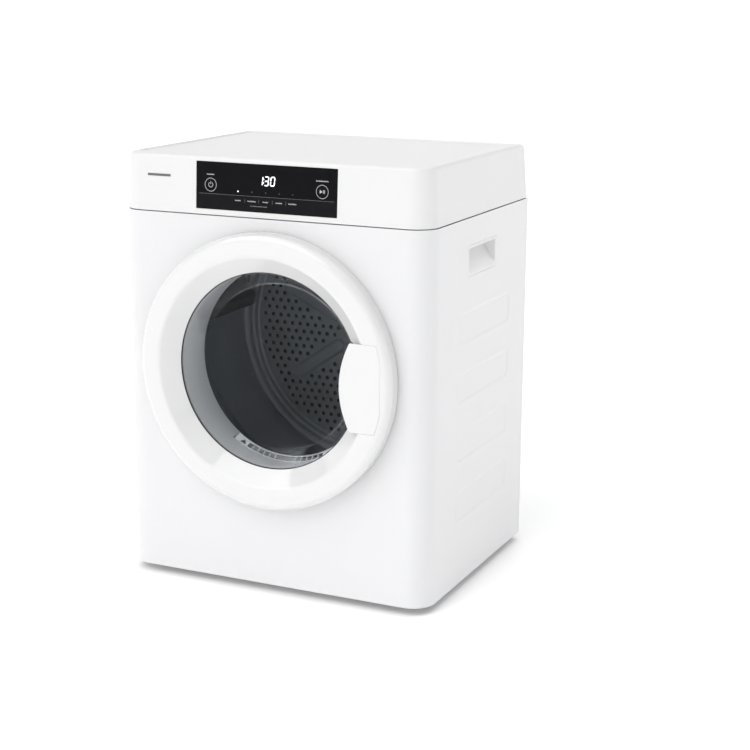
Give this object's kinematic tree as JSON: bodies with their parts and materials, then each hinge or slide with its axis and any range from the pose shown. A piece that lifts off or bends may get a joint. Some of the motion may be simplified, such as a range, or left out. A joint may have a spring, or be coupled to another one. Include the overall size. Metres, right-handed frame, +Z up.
{
  "type": "tumble dryer",
  "caption": "Compact front-loading vented tumble dryer with a round glass bowl door, a perforated drum, a belt drive and a control head.",
  "frame": {"origin": "floor level, under the centre of the overall box", "axes": "+Z up, +X to the right as seen from the front, +Y from the door to the back"},
  "size_m": [0.51, 0.445, 0.66],
  "materials": {
    "white_paint": "smooth white paint",
    "white_plastic": "satin white moulding",
    "gloss_white": "high gloss white moulding",
    "gloss_black": "high gloss black",
    "light_grey": "satin light grey",
    "dark_plastic": "matt dark grey",
    "rubber": "matt black rubber",
    "felt": "pressed grey felt",
    "clear_glass": "clear, glossy",
    "drum_steel": "brushed dark steel",
    "zinc_steel": "zinc plated",
    "board_green": "solder mask green",
    "filter_cloth": "fine woven mesh"
  },
  "bodies": {
    "cabinet": {"base_pan": "dark_plastic", "foot_front_left": "rubber", "foot_front_right": "rubber", "foot_rear_left": "rubber", "foot_rear_right": "rubber", "cabinet_shell": "white_paint", "rear_panel": "zinc_steel", "side_grip_left": "white_plastic", "side_grip_right": "white_plastic", "top_cover": "white_plastic", "control_lens": "gloss_black", "control_board": "board_green", "hinge_bracket": "zinc_steel", "hinge_pin": "zinc_steel", "door_catch": "dark_plastic", "door_switch": "dark_plastic", "front_bulkhead": "light_grey", "front_felt_ring": "felt", "filter_duct": "light_grey", "blower_housing": "light_grey", "motor_body": "zinc_steel", "motor_bracket": "zinc_steel", "drive_belt": "rubber", "idler_spring": "zinc_steel", "idler_stand": "zinc_steel", "roller_axle_left": "zinc_steel", "roller_axle_right": "zinc_steel", "rear_bulkhead": "zinc_steel", "rear_felt_ring": "felt", "bearing_housing": "zinc_steel", "drum_bearing": "zinc_steel", "exhaust_duct": "dark_plastic", "exhaust_collar": "dark_plastic", "heater_housing": "zinc_steel", "heater_core": "zinc_steel", "cord_gland": "dark_plastic"},
    "door": {"door_outer_ring": "gloss_white", "door_handle": "gloss_white", "door_window": "clear_glass", "door_inner_ring": "light_grey", "door_seal": "rubber", "door_striker": "zinc_steel", "door_hinge_leaf": "zinc_steel"},
    "drum": {"drum_shell": "drum_steel", "drum_back": "drum_steel", "drum_lifter_1": "dark_plastic", "drum_lifter_2": "dark_plastic", "drum_lifter_3": "dark_plastic", "drum_shaft": "zinc_steel"},
    "rotor": {"motor_shaft": "zinc_steel", "motor_pulley": "zinc_steel", "blower_wheel": "dark_plastic"},
    "idler_swing_arm": {"idler_arm": "zinc_steel"},
    "idler_wheel": {"idler_pulley": "dark_plastic"},
    "roller_left": {"drum_roller_left": "rubber"},
    "roller_right": {"drum_roller_right": "rubber"},
    "lint_filter": {"lint_filter_frame": "light_grey", "lint_filter_mesh": "filter_cloth"},
    "power_button": {"power_key": "gloss_black"},
    "start_button": {"start_key": "gloss_black"}
  },
  "joints": [
    {"name": "door_hinge", "type": "hinge", "parent": "cabinet", "child": "door", "pos_m": [-0.1985, -0.2083, 0.348], "axis": [0, 0, -1], "range_deg": [0, 150]},
    {"name": "drum_spin", "type": "hinge", "parent": "cabinet", "child": "drum", "pos_m": [0, 0, 0.348], "axis": [0, 1, 0], "continuous": true},
    {"name": "rotor_spin", "type": "hinge", "parent": "cabinet", "child": "rotor", "pos_m": [0.15, 0, 0.09], "axis": [0, 1, 0], "continuous": true},
    {"name": "roller_left_spin", "type": "hinge", "parent": "cabinet", "child": "roller_left", "pos_m": [-0.18469, 0, 0.19302], "axis": [0, 1, 0], "continuous": true},
    {"name": "roller_right_spin", "type": "hinge", "parent": "cabinet", "child": "roller_right", "pos_m": [0.18469, 0, 0.19302], "axis": [0, 1, 0], "continuous": true},
    {"name": "idler_swing", "type": "hinge", "parent": "cabinet", "child": "idler_swing_arm", "pos_m": [0.06, 0, 0.045], "axis": [0, 1, 0], "range_deg": [0, 10], "stiffness_Nm_per_rad": 0.6, "springref_deg": -17.19, "deforming": ["idler_spring"]},
    {"name": "idler_wheel_spin", "type": "hinge", "parent": "idler_swing_arm", "child": "idler_wheel", "pos_m": [0.088, 0, 0.0885], "axis": [0, 1, 0], "continuous": true},
    {"name": "lint_filter_lift", "type": "slide", "parent": "cabinet", "child": "lint_filter", "axis": [0, 0, 1], "range_m": [0, 0.07]},
    {"name": "power_press", "type": "slide", "parent": "cabinet", "child": "power_button", "axis": [0, 0.9986, -0.0534], "range_m": [0, 0.0008], "stiffness_N_per_m": 400, "springref_m": -0.001},
    {"name": "start_press", "type": "slide", "parent": "cabinet", "child": "start_button", "axis": [0, 0.9986, -0.0534], "range_m": [0, 0.0008], "stiffness_N_per_m": 400, "springref_m": -0.001}
  ],
  "couplings": [
    {"joint": "rotor_spin", "follows": "drum_spin", "ratio": 24.37},
    {"joint": "idler_wheel_spin", "follows": "drum_spin", "ratio": -11.381},
    {"joint": "roller_left_spin", "follows": "drum_spin", "ratio": -12.361},
    {"joint": "roller_right_spin", "follows": "drum_spin", "ratio": -12.361}
  ]
}
